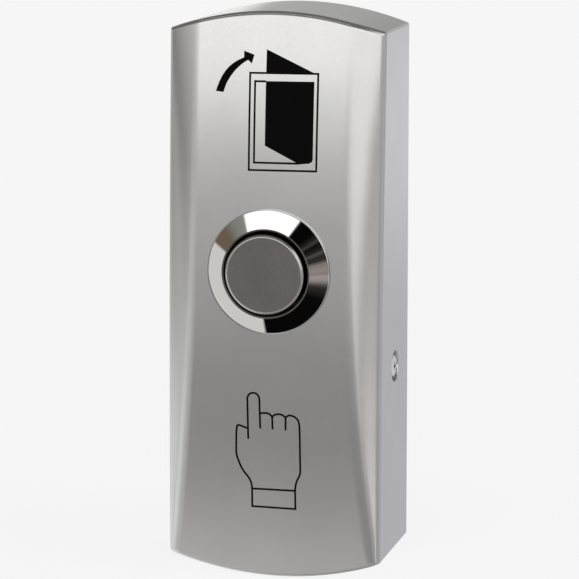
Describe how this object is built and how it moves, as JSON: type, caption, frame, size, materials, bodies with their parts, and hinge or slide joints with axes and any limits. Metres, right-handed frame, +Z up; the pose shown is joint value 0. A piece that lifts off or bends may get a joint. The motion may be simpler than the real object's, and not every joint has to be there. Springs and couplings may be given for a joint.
{
  "type": "door exit button",
  "caption": "Surface wall box with a crowned metal front, side bands and a sprung round push button that closes a contact to release a door.",
  "frame": {"origin": "middle of the wall face, on the back of the wall plate", "axes": "+Z up the wall along the housing's length, +X to the right seen from the front, the front faces -Y"},
  "size_m": [0.032, 0.0226, 0.083],
  "materials": {
    "satin_casting": "satin plated zinc casting",
    "zinc_plated_steel": "zinc plated sheet",
    "bright_steel": "bright plated",
    "spring_steel": "plain spring steel",
    "polished_chrome": "mirror polished",
    "satin_steel": "fine satin",
    "brass": "turned",
    "contact_silver": "plain silver alloy",
    "black_rubber": "matt",
    "black_plastic": "moulded",
    "white_plastic": "moulded",
    "black_print": "printed ink, for marks added to the housing's front"
  },
  "bodies": {
    "case": {"housing": "satin_casting", "back_plate": "zinc_plated_steel", "lock_screw": "bright_steel", "button_barrel": "polished_chrome", "head_seal": "black_rubber", "lock_washer": "spring_steel", "hex_nut": "bright_steel", "return_spring": "spring_steel", "contact_block": "black_plastic", "contact_base": "black_plastic", "base_contacts": "contact_silver", "left_terminal": "brass", "right_terminal": "brass", "terminal_clamps": "bright_steel", "terminal_screws": "bright_steel"},
    "plunger": {"plunger_cap": "satin_steel", "plunger_stem": "brass", "retaining_clip": "spring_steel", "contact_carrier": "white_plastic", "contact_spring": "spring_steel", "contact_bridge": "brass", "bridge_contacts": "contact_silver"}
  },
  "joints": [
    {"name": "button_press", "type": "slide", "parent": "case", "child": "plunger", "axis": [0, 1, 0], "range_m": [0, 0.0015], "stiffness_N_per_m": 1200, "springref_m": -0.001, "deforming": ["return_spring"]}
  ]
}
